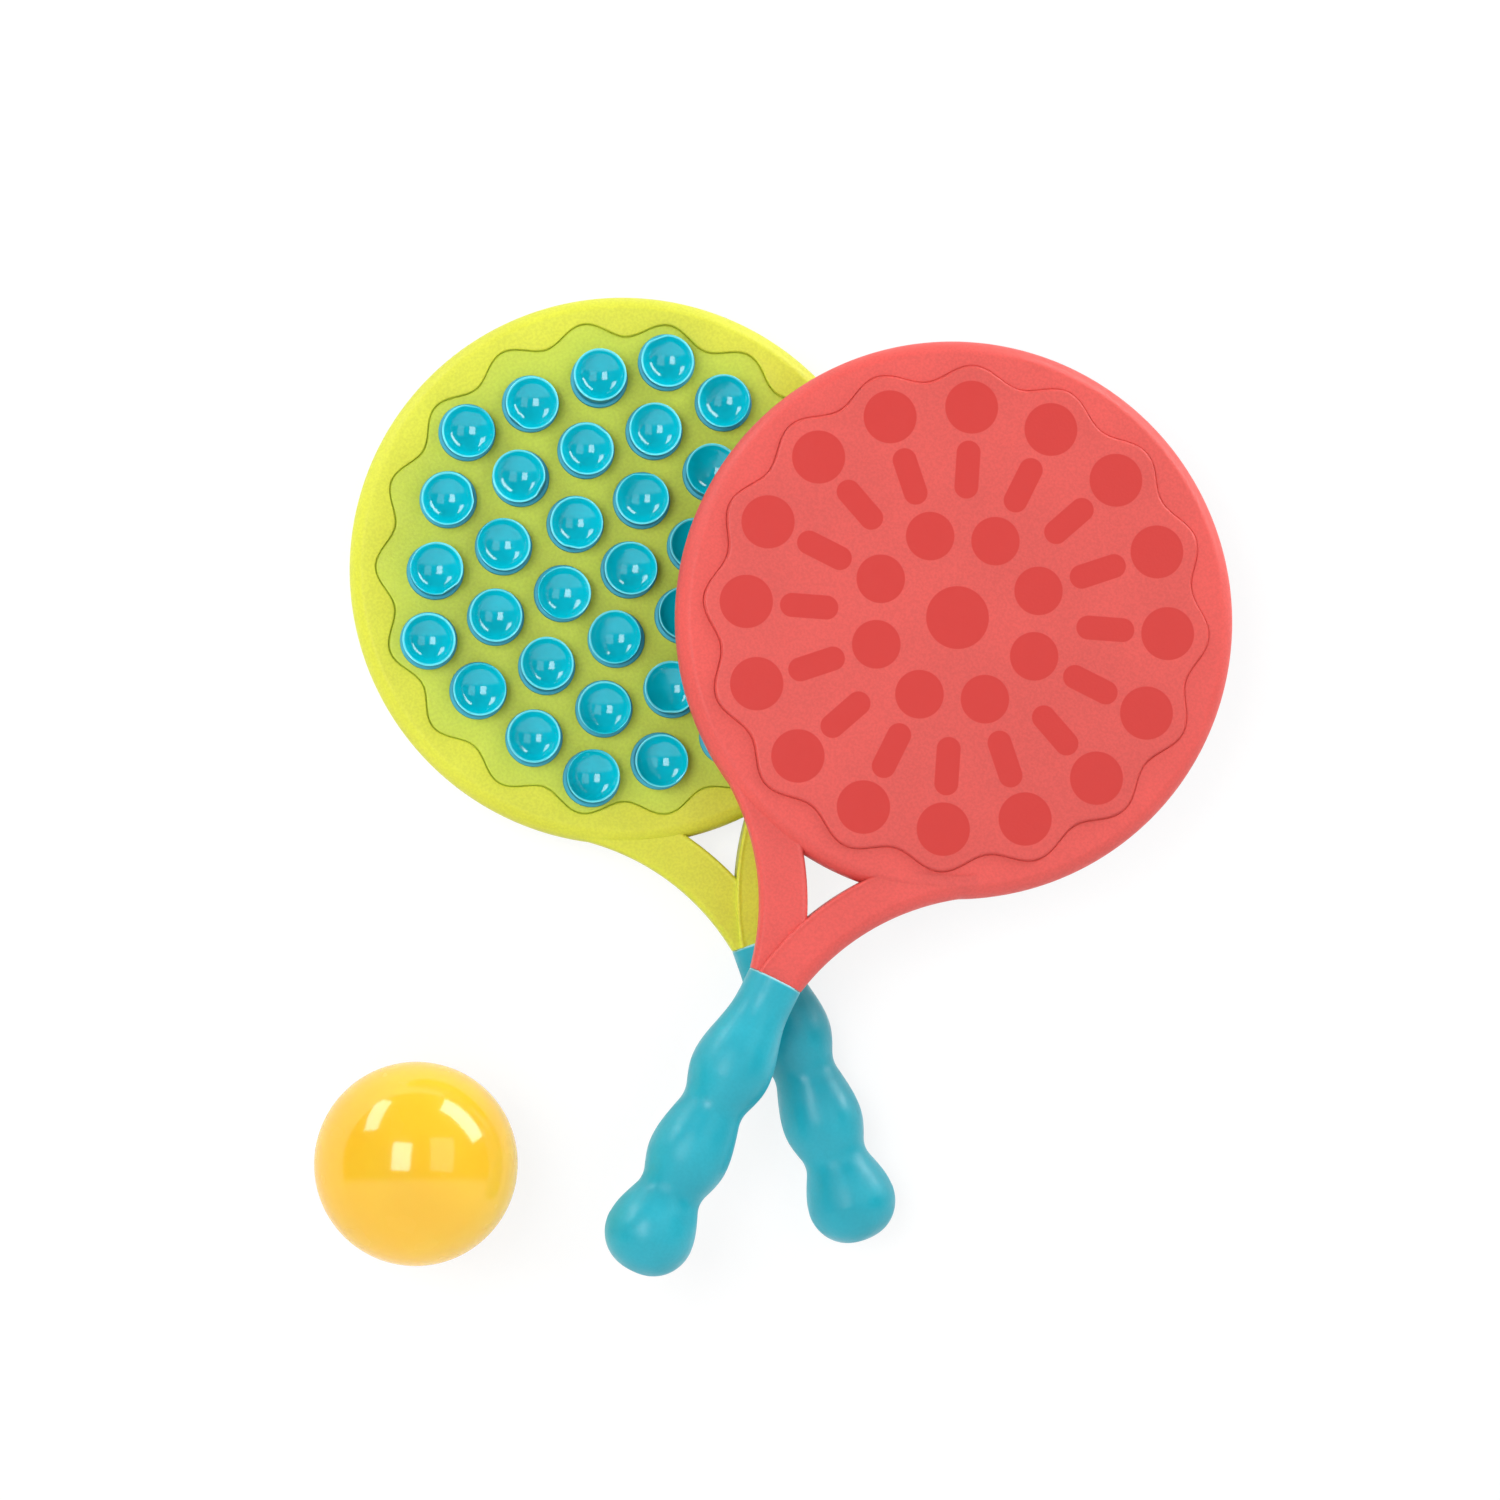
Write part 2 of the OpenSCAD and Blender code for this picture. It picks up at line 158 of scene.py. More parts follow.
class Finish:
    """A material with its node tree, and short ways to add to it."""

    def __init__(self, name):
        self.material = bpy.data.materials.new(name)
        self.material.use_nodes = True
        self.tree = self.material.node_tree
        self.shader = self.tree.nodes["Principled BSDF"]
        self.coords = self.tree.nodes.new("ShaderNodeTexCoord").outputs["Object"]

    def put(self, socket, value):
        """A value is a number, a colour or another node's output."""
        if isinstance(value, bpy.types.NodeSocket):
            self.tree.links.new(value, socket)
        else:
            socket.default_value = value

    def node(self, kind, inputs=(), **settings):
        made = self.tree.nodes.new(kind)
        for key, value in settings.items():
            setattr(made, key, value)
        for key, value in dict(inputs).items():
            self.put(made.inputs[key], value)
        return made

    def maths(self, operation, a, b=0.0, c=0.0):
        return self.node("ShaderNodeMath", {0: a, 1: b, 2: c}, operation=operation).outputs[0]

    def axis(self, name):
        return self.node("ShaderNodeSeparateXYZ", {"Vector": self.coords}).outputs[name]

    def noise(self, size_mm, detail=2.0):
        """Soft noise whose lumps are about that size."""
        inputs = {"Vector": self.coords, "Scale": 1 / (size_mm * MM), "Detail": detail}
        return self.node("ShaderNodeTexNoise", inputs).outputs["Fac"]

    def ramp(self, value, start, end, low=0.0, high=1.0):
        """Goes softly from low to high as value goes from start to end."""
        inputs = {"Value": value, "From Min": start, "From Max": end, "To Min": low, "To Max": high}
        made = self.node("ShaderNodeMapRange", inputs, interpolation_type="SMOOTHSTEP")
        return made.outputs["Result"]

    def between(self, noise, low, high):
        """A number that goes from low to high with a noise, over the span where most of it lies."""
        return self.ramp(noise, *NOISE_SPAN, low, high)

    def mix(self, share, first, second):
        inputs = {0: share, 6: first, 7: second}
        return self.node("ShaderNodeMix", inputs, data_type="RGBA").outputs[2]

    def bump(self, height, depth_mm, under=None):
        inputs = {"Height": height, "Strength": 1.0, "Distance": depth_mm * MM}
        if under is not None:
            inputs["Normal"] = under
        return self.node("ShaderNodeBump", inputs).outputs["Normal"]

    def feed(self, **sockets):
        """Links or sets the shader's own sockets."""
        for key, value in sockets.items():
            self.put(self.shader.inputs[key.replace("_", " ")], value)

    def soften(self, weight, depth_mm, spread):
        """Lets light spread inside the plastic, by a share of the depth in red, green and blue."""
        self.feed(Subsurface_Weight=weight, Subsurface_Scale=depth_mm * MM, Subsurface_Radius=spread)


print("noise is read from", NOISE_SPAN[0], "to", NOISE_SPAN[1])

# %% [markdown]
# Lime and coral shells.
# The shells have the dull spark texture of a hard toy moulding: grains well under a millimetre that
# break up every reflection. Two noises make it, a fine one for the grain and a broad one for the slight
# clouding that the flow of the melt leaves. The grain tints the colour as well as the bump, because
# pits hold a little shade. A trace of subsurface softens the shaded side, as pigment in plastic does.

# %% Make the shell finishes
CLOUD_TONES = (1.03, 0.97)
PIT_TONES = (0.93, 0.87)
FINE_GRAIN = {"grain_mm": 0.9, "depth_mm": 0.07}
COARSE_GRAIN = {"grain_mm": 1.1, "depth_mm": 0.12}


def grained(finish, colour, cloud_mm, grain_mm, depth_mm):
    """A colour that clouds over and darkens in the pits of the grain, and the bump of that grain."""
    cloud = finish.between(finish.noise(cloud_mm), 0, 1)
    grain = finish.noise(grain_mm)
    pits = finish.between(grain, 1, 0)
    tone = finish.mix(cloud, *[scaled(colour, factor) for factor in CLOUD_TONES])
    dark = finish.mix(cloud, *[scaled(colour, factor) for factor in PIT_TONES])
    return finish.mix(pits, tone, dark), finish.bump(grain, depth_mm)


def shell_finish(name, colour, grain):
    finish = Finish(name)
    tone, normal = grained(finish, colour, cloud_mm=26, **grain)
    finish.feed(
        Base_Color=tone,
        Normal=normal,
        Roughness=finish.between(finish.noise(size_mm=2.2), low=0.44, high=0.56),
        Specular_IOR_Level=0.4,
    )
    finish.soften(weight=0.1, depth_mm=1.5, spread=(1.0, 0.6, 0.3))
    return finish.material


LIME_SHELL = shell_finish("lime_shell", from_srgb(215, 218, 64), FINE_GRAIN)
CORAL_SHELL = shell_finish("coral_shell", from_srgb(223, 86, 80), FINE_GRAIN)
LIME_PLATE = shell_finish("lime_plate", from_srgb(196, 211, 70), COARSE_GRAIN)
CORAL_PLATE = shell_finish("coral_plate", from_srgb(214, 80, 75), COARSE_GRAIN)
print("shell finishes", [m.name for m in (LIME_SHELL, CORAL_SHELL, LIME_PLATE, CORAL_PLATE)])

# %% [markdown]
# Printed panels.
# A batting panel carries a tone-on-tone print, a plain wheel of dots and short round-ended bars. It
# could be drawn in an image, but a formula stays sharp at any distance and needs no file: turn the
# point into the nearest sector of a ring, then measure how far it lies from the middle of that sector.
# A bar is a dot whose middle has been stretched outwards.

# %% Draw the print
# Rings of the wheel: radius, count, half length of a bar, radius of its round ends, in millimetres
PRINT_RINGS = [(0, 1, 0, 11), (30, 8, 0, 8.5), (52, 16, 6, 4.2), (74, 16, 0, 9.3)]
PRINT_SOFT = 0.2


def distance(finish, a, b):
    """How far off a point is whose offsets in two directions are a and b."""
    squares = finish.maths("ADD", finish.maths("POWER", a, 2), finish.maths("POWER", b, 2))
    return finish.maths("SQRT", squares)


def ring_of_dots(finish, x, y, ring_r, count, half_len, dot_r):
    """1 inside the dots or bars of one ring, 0 outside."""
    off = finish.maths("PINGPONG", finish.maths("ARCTAN2", y, x), math.pi / count)
    far = distance(finish, x, y)
    along = finish.maths("MULTIPLY", far, finish.maths("COSINE", off))
    along = finish.maths("SUBTRACT", along, ring_r * MM)
    across = finish.maths("MULTIPLY", far, finish.maths("SINE", off))
    past_bar = finish.maths("SUBTRACT", finish.maths("ABSOLUTE", along), half_len * MM)
    past_bar = finish.maths("MAXIMUM", past_bar, 0)
    inside, outside = (dot_r - PRINT_SOFT) * MM, (dot_r + PRINT_SOFT) * MM
    return finish.ramp(distance(finish, past_bar, across), inside, outside, 1, 0)


print("dots and bars in the print", sum(count for _, count, _, _ in PRINT_RINGS))

# %% Make the printed finishes
INK_SHEEN = -0.15


def print_finish(name, ground, motif):
    finish = Finish(name)
    x, y = finish.axis("X"), finish.axis("Y")
    ink = 0.0
    for ring in PRINT_RINGS:
        ink = finish.maths("MAXIMUM", ring_of_dots(finish, x, y, *ring), ink)
    tone, normal = grained(finish, ground, cloud_mm=30, grain_mm=0.9, depth_mm=0.04)
    sheen = finish.maths("MULTIPLY_ADD", ink, INK_SHEEN, finish.noise(size_mm=2))
    finish.feed(
        Base_Color=finish.mix(ink, tone, motif),
        Roughness=finish.between(sheen, low=0.38, high=0.5),
        Normal=normal,
        Specular_IOR_Level=0.42,
    )
    finish.soften(weight=0.1, depth_mm=1.5, spread=(1.0, 0.2, 0.1))
    return finish.material


CORAL_PANEL = print_finish("coral_panel", from_srgb(215, 83, 77), from_srgb(199, 52, 47))
LIME_PANEL = print_finish("lime_panel", from_srgb(216, 222, 62), from_srgb(190, 201, 46))
print("printed finishes", CORAL_PANEL.name, LIME_PANEL.name)

# %% [markdown]
# Soft cups.
# The cups are a soft, clear-tinted plastic: light passes through the thin lip, so the lip looks pale
# and the bowl deep. Real transparency would be slow and noisy on so many small cups, so painted light,
# placed by height, draws the pale line where the lip is thinnest, and a fainter painted highlight sits on
# the collar's edge. The bowl is told from the wall by the way that its surface faces, and is glossy where
# the wall is dull. The wall is painted darker than the bowl, as painted shade on the cups' sides.

# %% Make the suction cups' finish
PLATE_DROP = 0.8
CUP_H = 8
PLATE_FACE_Z = HALF_T - PLATE_DROP
# Heights over the plate between which a colour comes in, in millimetres: painted light on the lip,
# a painted highlight on the collar, and the bowl past the wall's painted shade
LIP_PAINTED_LIGHT = (CUP_H - 0.7, CUP_H - 0.2)
COLLAR_HIGHLIGHT_IN = (1.3, 1.5)
COLLAR_HIGHLIGHT_OUT = (1.6, 1.8)
BOWL_ABOVE = (1.8, 2.2)
BOWL_FACING = (0.25, 0.5)
BOWL_GLOSS = -0.47


def cup_finish():
    finish = Finish("cyan_cups")
    height = finish.axis("Z")
    facing = finish.node("ShaderNodeTexCoord").outputs["Normal"]
    facing = finish.node("ShaderNodeSeparateXYZ", {"Vector": facing}).outputs["Z"]

    def over(span):
        """0 below the first height over the plate, 1 above the second."""
        return finish.ramp(height, *[(PLATE_FACE_Z + z) * MM for z in span])

    bowl = finish.maths("MULTIPLY", finish.ramp(facing, *BOWL_FACING), over(BOWL_ABOVE))
    # A painted highlight runs round the collar's top edge.
    collar_highlight = finish.maths("SUBTRACT", over(COLLAR_HIGHLIGHT_IN), over(COLLAR_HIGHLIGHT_OUT))
    drift = finish.between(finish.noise(size_mm=12), 0, 1)
    deep = finish.mix(drift, from_srgb(0, 176, 194), from_srgb(0, 184, 204))
    # The wall's darker colour is painted shade on the cups' sides; the bowl keeps the cups' own colour.
    body = finish.mix(bowl, from_srgb(0, 132, 160), deep)
    # The collar's painted highlight colour.
    body = finish.mix(collar_highlight, body, from_srgb(44, 166, 190))
    dull = finish.between(finish.noise(size_mm=5), low=0.53, high=0.57)
    finish.feed(
        # The lip is painted pale: painted light for the light that passes through its thin plastic.
        Base_Color=finish.mix(over(LIP_PAINTED_LIGHT), body, from_srgb(104, 216, 230)),
        Roughness=finish.maths("MULTIPLY_ADD", bowl, BOWL_GLOSS, dull),
        Normal=finish.bump(finish.noise(size_mm=8), depth_mm=0.025),
        Specular_IOR_Level=0.6,
    )
    finish.soften(weight=0.2, depth_mm=1.5, spread=(0.1, 0.8, 1.0))
    return finish.material


CYAN_CUPS = cup_finish()
print("finish", CYAN_CUPS.name)

# %% [markdown]
# Rubber grips and glossy ball.
# The grips are a rubbery skin with a waxy, blotchy sheen, so one broad noise drives both the roughness
# and the bump. The pits of their fine grain are painted a little darker, as painted shade. A pale line of
# painted light marks the thin edge at the top of the sleeve. The ball is a thin translucent shell with a
# clear gloss, so light spreads in it, and it is the one piece whose reflections are sharp. A thin coat of
# high index keeps its highlights bright and its rim from turning pale.

# %% Make the grip and ball finishes
THROAT_LEN = 43
NECK_S = HEAD_R + THROAT_LEN
# Distances below the grip's top between which its painted line of light comes in, in millimetres
GRIP_EDGE_LIGHT = (0.9, 0.3)


def grip_finish():
    finish = Finish("turquoise_grip")
    blotch = finish.noise(size_mm=9, detail=3)
    grain = finish.noise(size_mm=1.1)
    drift = finish.between(finish.noise(size_mm=20), 0, 1)
    tone = finish.mix(drift, from_srgb(24, 161, 180), from_srgb(34, 170, 189))
    # Where the grain dips, the colour is painted a little darker: painted shade in the pits.
    tone = finish.mix(finish.between(grain, low=0.25, high=0), tone, from_srgb(16, 150, 170))
    # The top edge of the sleeve gets a painted line of light.
    top = finish.ramp(finish.axis("Y"), *[-(NECK_S + s) * MM for s in GRIP_EDGE_LIGHT])
    finish.feed(
        Base_Color=finish.mix(top, tone, from_srgb(150, 212, 220)),
        Roughness=finish.between(blotch, low=0.3, high=0.5),
        Normal=finish.bump(blotch, depth_mm=0.22, under=finish.bump(grain, depth_mm=0.05)),
        Specular_IOR_Level=0.45,
    )
    finish.soften(weight=0.12, depth_mm=2, spread=(0.3, 0.8, 1.0))
    return finish.material


def ball_finish():
    finish = Finish("amber_ball")
    swirl = finish.between(finish.noise(size_mm=34), 0, 1)
    finish.feed(
        Base_Color=finish.mix(swirl, from_srgb(255, 199, 46), from_srgb(255, 205, 54)),
        Roughness=finish.between(finish.noise(size_mm=15), low=0.2, high=0.28),
        Normal=finish.bump(finish.noise(size_mm=18), depth_mm=0.04),
        Specular_IOR_Level=0.1,
        Coat_Weight=0.3,
        Coat_IOR=2.3,
        Coat_Roughness=0.1,
        Coat_Tint=(1.0, 0.93, 0.75, 1),
    )
    finish.soften(weight=0.15, depth_mm=2, spread=(1.0, 0.5, 0.12))
    return finish.material


TURQUOISE_GRIP = grip_finish()
AMBER_BALL = ball_finish()
print("finishes", TURQUOISE_GRIP.name, AMBER_BALL.name)

# %% [markdown]
# Skins from loops.
# Every piece here can be drawn as a row of loops, each with as many points as the next, with quads
# between neighbours: a lathe does that with circles, a wavy plate with wavy outlines, and an arm with
# one profile set down again and again along its curve. One function skins the loops, another makes the
# object, hangs it on its body and hides the plain node that it stands for.


# %% Helpers for loops
def skin(loops, closed=False, caps=False):
    """Points and quads between loops; closed joins the last loop to the first, caps fills both ends."""
    size = len(loops[0])
    points = [point for loop in loops for point in loop]
    faces = []
    for i in range(len(loops) if closed else len(loops) - 1):
        here, there = i * size, (i + 1) % len(loops) * size
        for j in range(size):
            k = (j + 1) % size
            faces.append((here + j, here + k, there + k, there + j))
    if caps:
        faces.append(tuple(reversed(range(size))))
        faces.append(tuple(range(len(points) - size, len(points))))
    return points, faces


def joined(parts):
    """Several (points, faces) as one."""
    points, faces = [], []
    for part_points, part_faces in parts:
        start = len(points)
        points += part_points
        faces += [tuple(start + i for i in face) for face in part_faces]
    return points, faces


def arc(centre, radius, start, end, steps):
    """Points of a round stretch in a profile; angles in degrees."""
    turns = [math.radians(start + (end - start) * i / steps) for i in range(steps + 1)]
    return [(centre[0] + radius * math.cos(t), centre[1] + radius * math.sin(t)) for t in turns]


def eased(t):
    """0 to 1 with a soft start and a soft end."""
    return (1 - math.cos(math.pi * t)) / 2


def circle(radius, z, count):
    turns = [2 * math.pi * i / count for i in range(count)]
    return [(radius * math.cos(t), radius * math.sin(t), z) for t in turns]


print("a skin of two loops of 8 has", len(skin([circle(1, z, 8) for z in (0, 1)])[1]), "quads")


# %% Helpers for objects
def new_object(name, points, faces, place):
    """An object from points in millimetres, with every face looking outwards."""
    mesh = bpy.data.meshes.new(name)
    mesh.from_pydata([Vector(p) * MM for p in points], [], faces)
    mesh.validate()
    work = bmesh.new()
    work.from_mesh(mesh)
    bmesh.ops.recalc_face_normals(work, faces=work.faces)
    work.to_mesh(mesh)
    work.free()
    made = bpy.data.objects.new(name, mesh)
    made.matrix_world = place
    scene.collection.objects.link(made)
    return made


SHARP = 40


def dress(made, material, body, node):
    """Smooth shading, the material, the body that it rides on and the node that it stands for."""
    made.data.materials.append(material)
    made.data.shade_smooth()
    made.data.set_sharp_from_angle(angle=math.radians(SHARP))
    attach(made, body)
    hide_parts(node)
    print(made.name, "has", len(made.data.polygons), "faces")


print("edges past", SHARP, "degrees stay sharp")

# %% [markdown]
# The shells.
# Each half of a paddle is one moulding: a ring with a rolled rim, two arms that leave the rim along its
# curve and cross at the neck, and a tang inside the grip. The creases where an arm meets the ring and
# where one arm passes over the other are sharp on a toy like this, so the forms are simply laid into
# each other. The eye finds the form by three lines: the soft break where a flat top begins to roll
# down, the bright bead on the inner edge of an arm, and the small round at the pocket's edge.

# %% Outline of the wavy pockets
RING_W = 12
WAVE_R = HEAD_R - RING_W
WAVE_AMP = 2.8
WAVE_POINTS = 24
CUP_WAVES = 18
HIT_WAVES = 16


def wavy(inset, z, waves, towards_grip):
    """A wavy outline, with a top or a trough of a wave towards the grip."""
    count = waves * WAVE_POINTS
    loop = []
    for i in range(count):
        turn = 2 * math.pi * i / count
        r = WAVE_R - inset + WAVE_AMP * towards_grip * math.cos(waves * (turn + math.pi / 2))
        loop.append((r * math.cos(turn), r * math.sin(turn), z))
    return loop


print("points in a cup pocket's outline", len(wavy(0, 0, CUP_WAVES, -1)))

# %% Ring of the head
PANEL_T = 1.8
MAT_T = 1.5
MAT_Z = PLATE_FACE_Z - PANEL_T - MAT_T
PANEL_SEAT_Z = PANEL_Z - PANEL_T
LEDGE_W = 6
SEAM = 0.4
RIM_ROLL = 4.6
ROLL_BREAK = 70
ROLL_STEPS = 10
BREAK_SOFT = 0.5
RING_DISH = 0.25
DISH_RUN = 2
POCKET_ROUND = 0.6
POCKET_STEPS = 4


def rolled(edge, top, width):
    """Profile points of a rolled edge, from the upright side up to the break at the flat top."""
    radius = width / (1 - math.cos(math.radians(ROLL_BREAK)))
    centre = (edge - radius, top - radius * math.sin(math.radians(ROLL_BREAK)))
    return arc(centre, radius, 0, ROLL_BREAK, ROLL_STEPS)


def head_ring(waves, towards_grip, floor_z):
    """The rim and its ring, with the wavy pocket down to its floor."""
    count = waves * WAVE_POINTS
    inner_r = WAVE_R - WAVE_AMP - LEDGE_W
    crest_r = HEAD_R - RIM_ROLL - BREAK_SOFT
    rim = [(HEAD_R - SEAM, 0), (HEAD_R, SEAM)] + rolled(HEAD_R, HALF_T, RIM_ROLL)
    rim += [(crest_r, HALF_T), (crest_r - DISH_RUN, HALF_T - RING_DISH / 2)]
    loops = [circle(r, z, count) for r, z in rim]
    centre = (-POCKET_ROUND, HALF_T - RING_DISH - POCKET_ROUND)
    for inset, z in arc(centre, POCKET_ROUND, 90, 0, POCKET_STEPS):
        loops.append(wavy(inset, z, waves, towards_grip))
    loops.append(wavy(0, floor_z, waves, towards_grip))
    loops.append(circle(inner_r, floor_z, count))
    loops.append(circle(inner_r, 0, count))
    return skin(loops, closed=True)


print("pocket floors in mm above the seam", round(MAT_Z, 2), round(PANEL_SEAT_Z, 2))

# %% Throat arms
NECK_W = 19.6
ARM_W = 16.5
ARM_SWEEP_R = 86
ARM_SINK = 0.4
ARM_ROLL = 4.4
UNDER_ROLL = 1.6
ARM_BEAD = 0.9
BEAD_RISE = 0.25
BEAD_TURN = 120
BEAD_STEPS = 8
ARM_DROP = 0.8
UNDER_DROP = 1.6
ARM_Z = HALF_T - ARM_DROP
UNDER_Z = ARM_Z - UNDER_DROP
RIM_Z = HALF_T - 0.06
ARM_STEPS = 72
# Shares of the arm where its face leaves the rim's height, and over which it comes to the neck's
FALL_FROM = 0.12
FALL_OVER = 0.33
NECK_PAST = 1
KEEP_OUT = WAVE_R + WAVE_AMP + 1


def arm_centre():
    """Centre of the arc that starts on the rim and ends at the neck's corner."""
    corner = Vector((NECK_W / 2, -NECK_S))
    reach = HEAD_R + ARM_SWEEP_R - ARM_SINK
    far = corner.length
    along = (far * far + reach * reach - ARM_SWEEP_R * ARM_SWEEP_R) / (2 * far)
    aside = math.sqrt(reach * reach - along * along)
    way = corner / far
    return along * way + aside * Vector((-way.y, way.x))


def arm_section(roll):
    """Profile of an arm: its seam, as it is, and its top, counted from the height of its face."""
    flat_end = ARM_W - 2 * ARM_BEAD
    base = [(0, SEAM), (SEAM, 0), (ARM_W - SEAM, 0), (ARM_W, SEAM)]
    top = arc((ARM_W - ARM_BEAD, BEAD_RISE - ARM_BEAD), ARM_BEAD, 0, BEAD_TURN, BEAD_STEPS)
    top += [(flat_end, 0), (flat_end - BREAK_SOFT, 0), (roll + BREAK_SOFT, 0)]
    top += [(-x, z) for x, z in reversed(rolled(0, 0, roll))]
    return base, top


def arm(side, roll, neck_z, rim_z):
    """One throat arm, swept along its arc from the rim to the neck."""
    centre = arm_centre()
    base, top = arm_section(roll)
    first = math.atan2(-centre.y, -centre.x)
    last = math.pi - math.asin((-NECK_S - NECK_PAST - centre.y) / (ARM_SWEEP_R + ARM_W))
    loops = []
    for i in range(ARM_STEPS + 1):
        turn = first + (last - first) * i / ARM_STEPS
        fall = min(max((i / ARM_STEPS - FALL_FROM) / FALL_OVER, 0), 1)
        face_z = rim_z + (neck_z - rim_z) * eased(fall)
        loop = []
        for x, z in base + [(x, face_z + z) for x, z in top]:
            point = centre + (ARM_SWEEP_R + x) * Vector((math.cos(turn), math.sin(turn)))
            if point.length < KEEP_OUT:
                point = point.normalized() * KEEP_OUT
            loop.append((side * point.x, max(point.y, -NECK_S), z))
        loops.append(loop)
    return skin(loops, caps=True)


print("arm arc's centre in mm", [round(v, 1) for v in arm_centre()])

# %% Neck and tang
SWELL_LEN = 20
SWELL_INSET = 0.3
SWELL_BELOW = 0.1
SWELL_STEPS = 16
TANG_W = 11
TANG_T = 9
TANG_LEN = 85


def neck_and_tang():
    """The swelling that leads into the grip, no higher than the arms, and the bar inside the grip."""
    half = [math.pi * i / SWELL_STEPS for i in range(SWELL_STEPS + 1)]
    stations = [(NECK_S - SWELL_LEN, TANG_T / 2), (NECK_S, NECK_W / 2 - SWELL_INSET)]
    top = ARM_Z - SWELL_BELOW
    cone = [[(r * math.cos(t), -s, min(r * math.sin(t), top)) for t in half] for s, r in stations]
    low, high = -TANG_W / 2, TANG_W / 2
    section = [(low, 0), (high, 0), (high, TANG_T / 2), (low, TANG_T / 2)]
    bar = [[(x, -s, z) for x, z in section] for s in (NECK_S - SWELL_LEN, NECK_S + TANG_LEN)]
    return [skin(cone, caps=True), skin(bar, caps=True)]


print("tang ends", NECK_S + TANG_LEN, "mm from the head's centre")

# %% Make the four shells
SHELLS = {"green": (LIME_SHELL, "lime_shell"), "red": (CORAL_SHELL, "coral_shell")}
SIDES = (("cup", CUP_WAVES, -1, MAT_Z), ("hit", HIT_WAVES, 1, PANEL_SEAT_Z))
for colour, (material, slot) in SHELLS.items():
    for face, waves, towards_grip, floor_z in SIDES:
        forms = [head_ring(waves, towards_grip, floor_z)]
        forms += [arm(1, ARM_ROLL, ARM_Z, RIM_Z), arm(-1, UNDER_ROLL, UNDER_Z, UNDER_Z)]
        place = PADDLES[colour] @ FACES[face]
        made = new_object(f"{colour}_{face}_side_skin", *joined(forms + neck_and_tang()), place)
        dress(made, material, f"{colour}_paddle", f"{colour}_{face}_side_shell")

# %% [markdown]
# Batting panels.
# A panel is a thin wavy plate that stands proud of its ring. The eye reads it by its edge: a bright
# line on the lit side and a dark gap on the other. A bevel could round it, but a few wavy loops give
# the round its true size all along the wave. A foot closes the gap below, so that the gap is a soft
# line. The face is left flat for the print.

# %% Make the batting panels
PANEL_GAP = 0.3
PANEL_EDGE = 0.7
EDGE_STEPS = 5
FOOT_GAP = 0.02
FOOT_DROP = 0.25
FACE_SHARES = (0.04, 0.5, 0.9)


def wavy_plate(waves, towards_grip, bottom_z, top_z, gap, edge_r):
    """A wavy plate with a rounded upper edge, from a small loop under its middle to one on top."""
    outline = wavy(gap, 0, waves, towards_grip)
    loops = [[(x * s, y * s, bottom_z) for x, y, _ in outline] for s in FACE_SHARES]
    for z in (bottom_z, top_z - edge_r - FOOT_DROP):
        loops.append(wavy(FOOT_GAP, z, waves, towards_grip))
    for inset, drop in arc((edge_r, edge_r), edge_r, 180, 270, EDGE_STEPS):
        loops.append(wavy(gap + inset, top_z - drop, waves, towards_grip))
    loops.append(wavy(gap + edge_r + BREAK_SOFT, top_z, waves, towards_grip))
    loops += [[(x * s, y * s, top_z) for x, y, _ in outline] for s in reversed(FACE_SHARES)]
    return skin(loops, caps=True)


PANELS = {"green": (LIME_PANEL, "lime_panel"), "red": (CORAL_PANEL, "coral_panel")}
for colour, (material, slot) in PANELS.items():
    form = wavy_plate(HIT_WAVES, 1, PANEL_SEAT_Z, PANEL_Z, PANEL_GAP, PANEL_EDGE)
    made = new_object(f"{colour}_batting_panel", *form, PADDLES[colour] @ FACES["hit"])
    dress(made, material, f"{colour}_paddle", f"{colour}_hit_panel")

# %% [markdown]
# Cup plates.
# The plate that holds the cups down is the same kind of wavy plate, sunk below its ring. The cups'
# stems fill its holes, so from outside only the field between them shows, and the holes needn't be
# cut. Its round edge sits close to the ring, so the line round it is fine and soft.

# %% Make the cup plates
PLATE_GAP = 0.3
PLATE_EDGE = 0.6
PLATES = {"green": (LIME_PLATE, "lime_plate"), "red": (CORAL_PLATE, "coral_plate")}
for colour, (material, slot) in PLATES.items():
    form = wavy_plate(CUP_WAVES, -1, PLATE_FACE_Z - PANEL_T, PLATE_FACE_Z, PLATE_GAP, PLATE_EDGE)
    made = new_object(f"{colour}_cup_field", *form, PADDLES[colour] @ FACES["cup"])
    dress(made, material, f"{colour}_paddle", f"{colour}_cup_plate")

# %% [markdown]
# Suction cups.
# Thirty-seven cups stand in rings of a hexagon that bulges a little towards a circle. A cup is turned
# like a bowl on a lathe: collar, waist, flared wall, a thin round lip and a ball-shaped hollow. Copies
# of one cup would look stamped, because no two soft cups sit alike. So each one is built anew, leans
# down to one side, bends, is squeezed by a little and may have a flat in its lip, all from a fixed
# seed. The whole mat has slid a millimetre in its pocket, as the photograph shows. No cup rises above
# its true height, because the two paddles lie lip to lip.

# %% Places of the cups
CUP_RINGS = 3
CUP_STEM_R = 10.2
CUP_GAP = 0.25
CUP_EDGE = 2.8
CUP_ROUND_SHARE = 0.25


def cup_places():
    pitch = (WAVE_R + WAVE_AMP - CUP_EDGE - CUP_STEM_R - CUP_GAP) / CUP_RINGS
    corners = [Vector((math.cos(math.pi / 3 * i), math.sin(math.pi / 3 * i))) for i in range(7)]
    places = [Vector((0, 0))]
    for ring in range(1, CUP_RINGS + 1):
        for side in range(6):
            for step in range(ring):
                spot = ring * corners[side] + step * (corners[side + 1] - corners[side])
                places.append(pitch * spot * (1 + CUP_ROUND_SHARE * (ring / spot.length - 1)))
    return places


